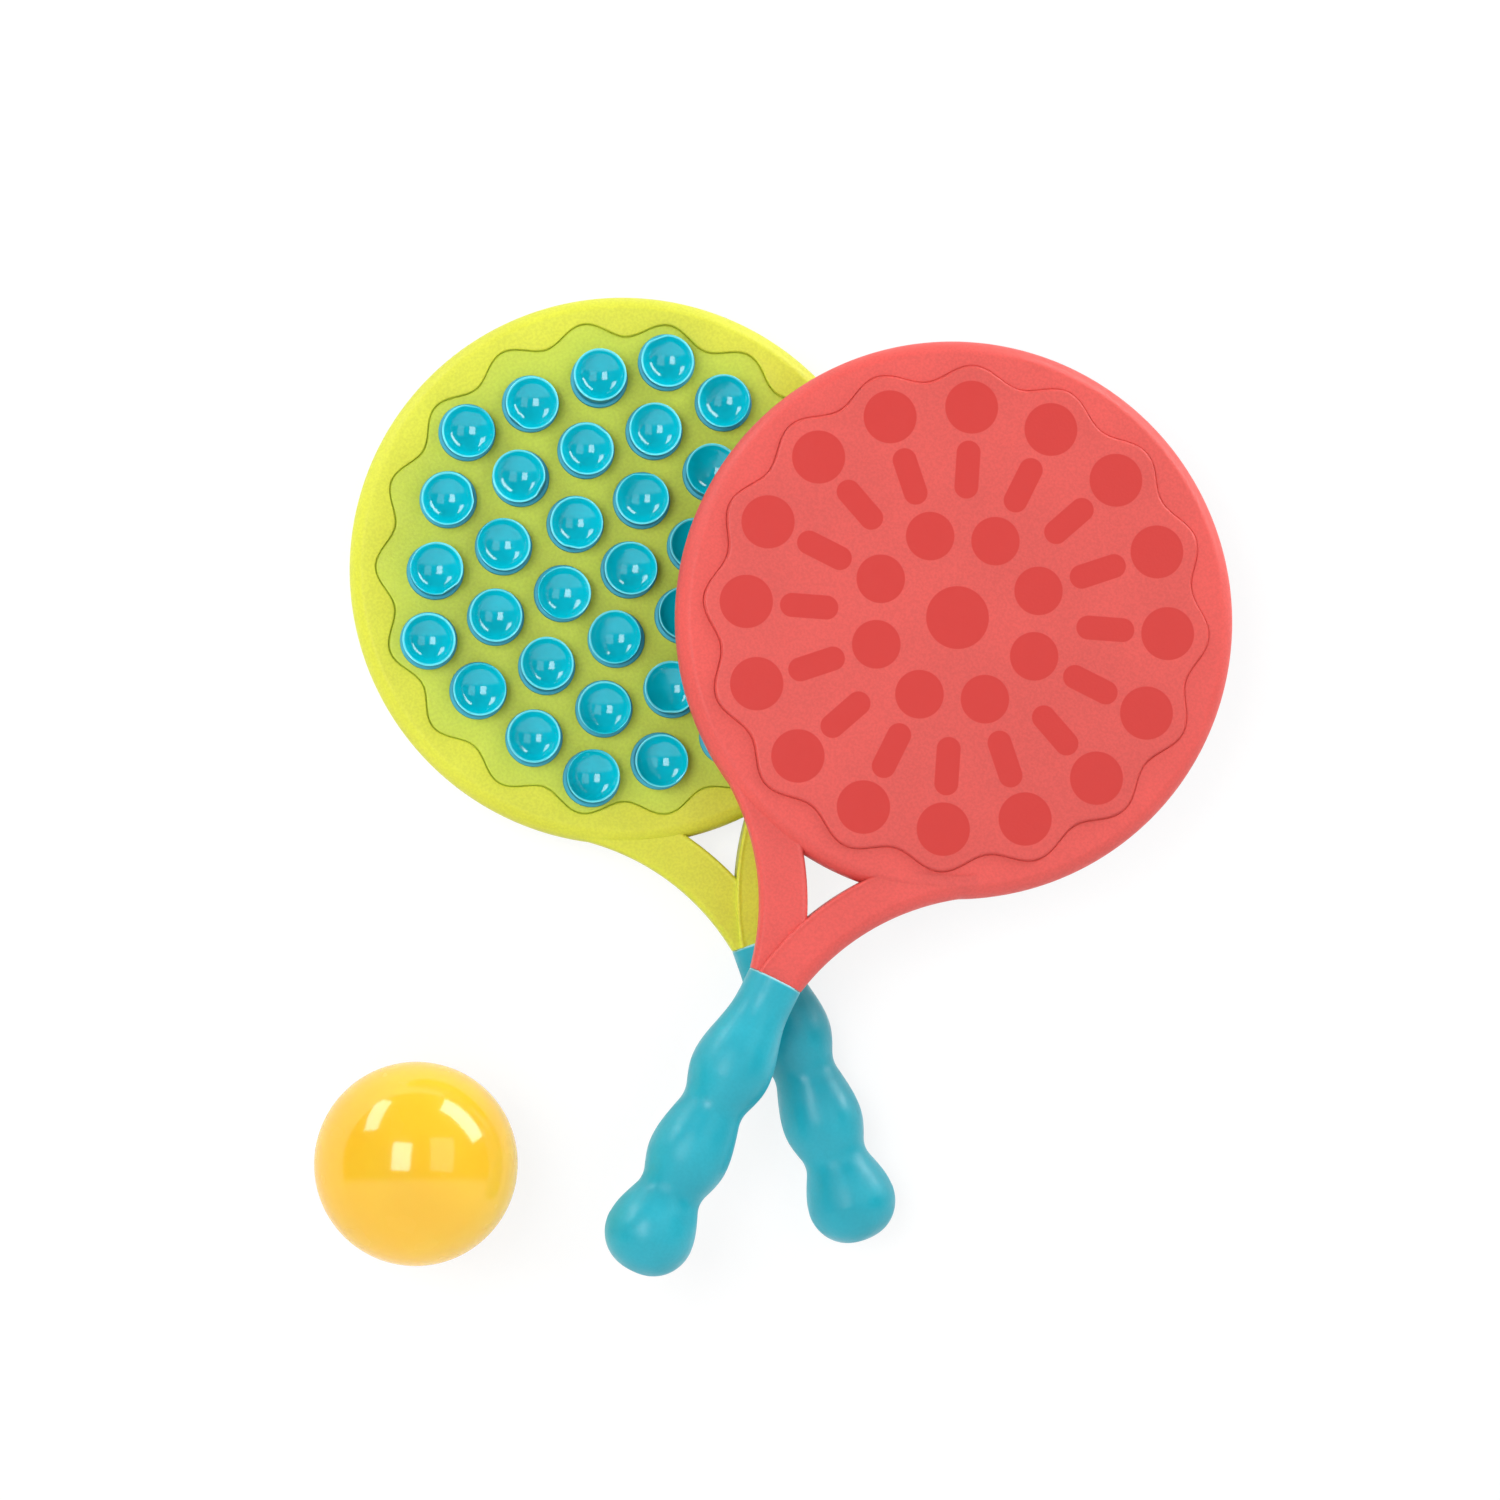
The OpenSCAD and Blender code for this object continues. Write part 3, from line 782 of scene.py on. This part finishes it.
print("cups on a paddle", len(cup_places()))

# %% Outline of a cup
CUP_LIP_R = 9.4
CUP_LIP_T = 0.5
CUP_DEPTH = 5.3
CUP_WAIST_R = 8.9
CUP_COLLAR_H = 1.6
# Steps of the wall: the first two rows count from the collar's top, the last one from the lip's
COLLAR_ROUND = [(0, -0.4), (-0.12, -0.12), (-0.4, 0)]
WAIST_FOOT = [(0.15, 0.15), (0, 0.5)]
WALL_FLARE = [(0.02, -4), (0.1, -2.4), (0.28, -1.2)]
LIP_FROM = -20
LIP_TO = 160
LIP_STEPS = 6
BOWL_LAP = 2
BOWL_STEPS = 16
POLE_R = 0.05


def cup_profile():
    """Radius and height above the plate, from the root up the outside, over the lip and into the bowl."""
    wall = [(CUP_STEM_R, -PANEL_T - MAT_T)]
    wall += [(CUP_STEM_R + r, CUP_COLLAR_H + z) for r, z in COLLAR_ROUND]
    wall += [(CUP_WAIST_R + r, CUP_COLLAR_H + z) for r, z in WAIST_FOOT]
    wall += [(CUP_WAIST_R + r, CUP_H + z) for r, z in WALL_FLARE]
    half_t = CUP_LIP_T / 2
    lip = arc((CUP_LIP_R - half_t, CUP_H - half_t), half_t, LIP_FROM, LIP_TO, LIP_STEPS)
    lip_in = CUP_LIP_R - CUP_LIP_T
    bowl_r = (lip_in * lip_in + CUP_DEPTH * CUP_DEPTH) / (2 * CUP_DEPTH)
    bowl_from = math.degrees(math.asin(lip_in / bowl_r)) - 90 - BOWL_LAP
    bowl = arc((0, CUP_H - CUP_DEPTH + bowl_r), bowl_r, bowl_from, -90, BOWL_STEPS)[:-1]
    return wall + lip + bowl + [(POLE_R, CUP_H - CUP_DEPTH)]


print("points in a cup's outline", len(cup_profile()))

# %% Turn the cups
CUP_SEGMENTS = 64
LEAN = math.radians(2.2)
SQUEEZE = 0.014
BEND = 0.9
FLAT_ODDS = 0.35
FLAT_SHARES = (0.93, 0.98)
FLAT_POWER = 4
MAT_SET = Vector((1, -1))
MAT_EDGE = 0.3
SEEDS = {"green": 11, "red": 12}


def cup(place, profile, rng):
    """One cup at its place, with the lean, the bend, the squeeze and the flat that it was dealt."""
    lean_way, lean = rng.uniform(0, 2 * math.pi), math.tan(rng.uniform(0, LEAN))
    bend_way, bend = rng.uniform(0, 2 * math.pi), rng.uniform(0, BEND)
    oval_way, oval = rng.uniform(0, math.pi), rng.uniform(-SQUEEZE, SQUEEZE)
    flat_way, flat = rng.uniform(0, 2 * math.pi), rng.uniform(*FLAT_SHARES)
    if rng.random() > FLAT_ODDS:
        flat = 1
    highest = CUP_LIP_R * (1 + SQUEEZE)
    loops = []
    for r, z in profile:
        give = max(z, 0) / CUP_H
        loop = []
        for i in range(CUP_SEGMENTS):
            turn = 2 * math.pi * i / CUP_SEGMENTS
            radius = r * (1 + oval * give * math.cos(2 * (turn - oval_way)))
            past = max(math.cos(turn - flat_way) - flat, 0) * r * give ** FLAT_POWER
            x = radius * math.cos(turn) - past * math.cos(flat_way)
            y = radius * math.sin(turn) - past * math.sin(flat_way)
            tip = lean * give * (x * math.cos(lean_way) + y * math.sin(lean_way) - highest)
            x += place.x + MAT_SET.x + bend * give * math.cos(bend_way)
            y += place.y + MAT_SET.y + bend * give * math.sin(bend_way)
            loop.append((x, y, PLATE_FACE_Z + z + tip))
        loops.append(loop)
    return skin(loops, caps=True)


for colour, seed in SEEDS.items():
    rng = random.Random(seed)
    profile = cup_profile()
    sheet = wavy_plate(CUP_WAVES, -1, MAT_Z, MAT_Z + MAT_T, PANEL_GAP, MAT_EDGE)
    form = joined([sheet] + [cup(place, profile, rng) for place in cup_places()])
    made = new_object(f"{colour}_suction_cups", *form, PADDLES[colour] @ FACES["cup"])
    dress(made, CYAN_CUPS, f"{colour}_paddle", f"{colour}_suction_mat")

# %% [markdown]
# Grips.
# The grip is a rubber sleeve with two swellings and a ball end. Its outline is a row of stations with a
# radius at each, eased from one to the next: broad round crowns, tighter waists. A few neighbouring
# radii are averaged, which softens the waists as thick rubber does. Turning that outline on a lathe with
# many short steps keeps its highlights smooth.

# %% Outline of a grip
GRIP_LEN = 112.5
GRIP_BULGE_R = 14.4
GRIP_WAIST_R = 10.7
GRIP_END_R = 15.7
# Stations as shares of the length, and the radius at each
GRIP_STATIONS = [
    (0, NECK_W / 2),
    (0.08, NECK_W / 2),
    (0.311, GRIP_BULGE_R),
    (0.432, GRIP_WAIST_R),
    (0.604, GRIP_BULGE_R),
    (0.724, GRIP_WAIST_R),
    (0.871, GRIP_END_R),
]
NECK_SPANS = 2
WAIST_SHARP = 0.8


def crowned(t):
    return WAIST_SHARP * math.sin(math.pi / 2 * t) + (1 - WAIST_SHARP) * eased(t)


def grip_radius(s):
    """The outline's radius at a distance along the grip, before its waists are softened."""
    share = min(max(s / GRIP_LEN, 0), GRIP_STATIONS[-1][0])
    k = max(i for i, station in enumerate(GRIP_STATIONS[:-1]) if station[0] <= share)
    (from_share, from_r), (to_share, to_r) = GRIP_STATIONS[k:k + 2]
    t = (share - from_share) / (to_share - from_share)
    if k < NECK_SPANS:
        ease = eased(t)
    elif k % 2 == 0:
        ease = 1 - crowned(1 - t)
    else:
        ease = crowned(t)
    return from_r + (to_r - from_r) * ease


print("grip radius in the middle", round(grip_radius(GRIP_LEN / 2), 2), "mm")

# %% Turn the grips
WAIST_SOFT = 2.6
WAIST_TAPS = (-1, -0.5, 0, 0.5, 1)
END_SQUARE = 0.88
END_STEPS = 36
GRIP_STEPS = 96
GRIP_SEGMENTS = 96
GRIP_TOP_ROUND = 0.5
TOP_STEPS = 5


def grip_outline():
    """Radius and distance from the head's centre, down the sleeve and round its end."""
    top_r = NECK_W / 2 - GRIP_TOP_ROUND
    top = arc((0, 0), GRIP_TOP_ROUND, 90, 0, TOP_STEPS)
    points = [(TANG_W / 2, 0)] + [(top_r + x, GRIP_TOP_ROUND - y) for x, y in top]
    ball_s = GRIP_LEN * GRIP_STATIONS[-1][0]
    for i in range(1, GRIP_STEPS):
        s = GRIP_TOP_ROUND + (ball_s - GRIP_TOP_ROUND) * i / GRIP_STEPS
        near = [grip_radius(s + WAIST_SOFT * tap) for tap in WAIST_TAPS]
        points.append((sum(near) / len(near), s))
    for c, s in arc((0, 0), 1, 0, 90, END_STEPS):
        points.append((max(GRIP_END_R * c ** END_SQUARE, POLE_R), ball_s + (GRIP_LEN - ball_s) * s))
    return [(r, NECK_S + s) for r, s in points]


for colour in PADDLES:
    loops = [[(x, -s, y) for x, y, _ in circle(r, 0, GRIP_SEGMENTS)] for r, s in grip_outline()]
    made = new_object(f"{colour}_grip_sleeve", *skin(loops, caps=True), PADDLES[colour])
    dress(made, TURQUOISE_GRIP, f"{colour}_paddle", f"{colour}_grip")

# %% [markdown]
# Ball.
# The ball is two welded halves. A sphere would look the same from afar, but each half here is a dome
# with a wall, an outer and an inner skin, and a hair of a bevel at the weld, which shows as a faint line
# round the middle when the light grazes it. The ball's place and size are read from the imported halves.

# %% Make the ball
BALL_WALL = 2
WELD = 0.12
NEAR_POLE = 89.9
DOME_STEPS = 48
DOME_SEGMENTS = 128
DOMES = (("ball_dome_low", "ball_lower_half", -1), ("ball_dome_high", "ball_upper_half", 1))
ball_low, ball_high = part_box("ball_lower_half")[0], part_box("ball_upper_half")[1]
ball_centre = (ball_low + ball_high) / 2
ball_r = (ball_high.z - ball_low.z) / 2 / MM
weld = math.degrees(WELD / ball_r)
dome = [(ball_r - WELD, 0)] + arc((0, 0), ball_r, weld, NEAR_POLE, DOME_STEPS)
dome += arc((0, 0), ball_r - BALL_WALL, NEAR_POLE, 0, DOME_STEPS)

for name, node, sign in DOMES:
    loops = [circle(r, sign * z, DOME_SEGMENTS) for r, z in dome]
    made = new_object(name, *skin(loops, closed=True), Matrix.Translation(ball_centre))
    dress(made, AMBER_BALL, "ball", node)

# %% [markdown]
# Lamps.
# The ball is a map of the studio: it shows two soft squares near the camera, a standing box to the
# upper left and a long low one to the upper right. Each lamp is placed by the two directions that its
# ends have in that mirror, so the highlights fall where the photograph has them, in the cups too. A
# last lamp at the left draws the shadows of the cups. The ball doesn't show it, so a card keeps it off
# the ball: here that is one setting of the lamp, and a second one keeps it out of reflections.

# %% Helpers for lamps
LAMP_FAR = 1.6


def looking(azimuth, height):
    """A direction by its bearing from +X and its height above the table, in degrees."""
    a, h = math.radians(azimuth), math.radians(height)
    return Vector((math.cos(a) * math.cos(h), math.sin(a) * math.cos(h), math.sin(h)))


def softbox(name, start, end, width, radiance):
    """A soft lamp, seen from the ball between two directions and that many degrees wide."""
    lamp = bpy.data.lights.new(name, "AREA")
    lamp.shape = "RECTANGLE"
    way = (start + end).normalized()
    lamp.size = LAMP_FAR * (end / end.dot(way) - start / start.dot(way)).length
    lamp.size_y = LAMP_FAR * 2 * math.tan(math.radians(width / 2))
    lamp.energy = radiance * math.pi * lamp.size * lamp.size_y
    along = (end - start).normalized()
    across = way.cross(along)
    made = bpy.data.objects.new(name, lamp)
    turned = Matrix((along, across, way)).transposed().to_4x4()
    made.matrix_world = Matrix.Translation(ball_centre + way * LAMP_FAR) @ turned
    made.visible_camera = False
    scene.collection.objects.link(made)
    print(name, "is", round(lamp.size, 2), "by", round(lamp.size_y, 2), "m")
    return made


print("lamps stand", LAMP_FAR, "m from the ball")

# %% Set the lamps
near_left = Vector((-0.31, -0.065, 0.986)), Vector((-0.256, 0.471, 0.888))
near_right = Vector((0.492, -0.094, 0.925)), Vector((0.486, 0.542, 0.761))
softbox("near_left_box", *near_left, width=21, radiance=6.8)
softbox("near_right_box", *near_right, width=27, radiance=1.4)
softbox("standing_box", looking(116, 1), looking(142, 22), width=16, radiance=6.6)
softbox("long_low_box", looking(66, 9.5), looking(22, 9.5), width=19, radiance=8)
fill = softbox("left_fill", looking(160, 34), looking(160, 62), width=28, radiance=2.8)
fill.visible_glossy = False
flagged = bpy.data.collections.new("flagged_off")
for name, _, _ in DOMES:
    flagged.objects.link(bpy.data.objects[name])
for entry in flagged.collection_objects:
    entry.light_linking.link_state = "EXCLUDE"
fill.light_linking.receiver_collection = flagged

# %% [markdown]
# Room, floor and backdrop.
# The rest of the room is dim, and lighter on the near side, where a pale wall fills the lower half of
# the ball. The floor is white paper. It takes the shadows, and where the camera or a mirror looks at it,
# most of its white comes from the paper itself, so the shadows stay faint. A far round wall of the same
# paper stands behind the set in low views. It gives no light and the ball doesn't show it, because the
# ball shows the room.

# %% Set the world
ROOM = 0.06
NEAR_WALL = 1.0
NEAR_FROM = -0.15
NEAR_TO = -0.33
WHITE = (1, 1, 1, 1)

world = bpy.data.worlds.new("studio")
scene.world = world
world.use_nodes = True
nodes, links = world.node_tree.nodes, world.node_tree.links
ways = nodes.new("ShaderNodeSeparateXYZ")
links.new(nodes.new("ShaderNodeTexCoord").outputs["Generated"], ways.inputs["Vector"])
level = nodes.new("ShaderNodeMapRange")
level.interpolation_type = "SMOOTHSTEP"
level.inputs["From Min"].default_value = NEAR_FROM
level.inputs["From Max"].default_value = NEAR_TO
level.inputs["To Min"].default_value = ROOM
level.inputs["To Max"].default_value = NEAR_WALL
links.new(ways.outputs["Y"], level.inputs["Value"])
links.new(level.outputs["Result"], nodes["Background"].inputs["Strength"])
nodes["Background"].inputs["Color"].default_value = WHITE
print("room", ROOM, "near wall", NEAR_WALL)

# %% Lay the paper
PAPER = (0.88, 0.88, 0.88, 1)
PAPER_SEEN = (0.21, 0.21, 0.21, 1)
PAPER_GLOW = 0.81
FLOOR_HALF = 6000
FLOOR_Z = -0.05
WALL_R = 5900
WALL_H = 4000
WALL_SEGMENTS = 96

paper = Finish("white_paper")
rays = paper.node("ShaderNodeLightPath").outputs
seen = paper.maths("MAXIMUM", rays["Is Camera Ray"], rays["Is Glossy Ray"])
seen = paper.maths("MAXIMUM", seen, rays["Is Transmission Ray"])
fibres = paper.between(paper.noise(size_mm=3), low=0.995, high=1)
paper.feed(
    Base_Color=paper.mix(seen, PAPER, PAPER_SEEN),
    Roughness=0.9,
    Specular_IOR_Level=0.0,
    Emission_Color=WHITE,
    Emission_Strength=paper.maths("MULTIPLY", seen, paper.maths("MULTIPLY", fibres, PAPER_GLOW)),
)
corners = [(x * FLOOR_HALF, y * FLOOR_HALF, FLOOR_Z) for x, y in ((-1, -1), (1, -1), (1, 1), (-1, 1))]
floor = new_object("floor", corners, [(0, 1, 2, 3)], Matrix.Identity(4))
floor.data.materials.append(paper.material)

wall_loops = [circle(WALL_R, z, WALL_SEGMENTS) for z in (0, WALL_H)]
backdrop = new_object("backdrop", *skin(wall_loops), Matrix.Identity(4))
backdrop.data.materials.append(paper.material)
backdrop.visible_diffuse = False
backdrop.visible_glossy = False
backdrop.visible_shadow = False
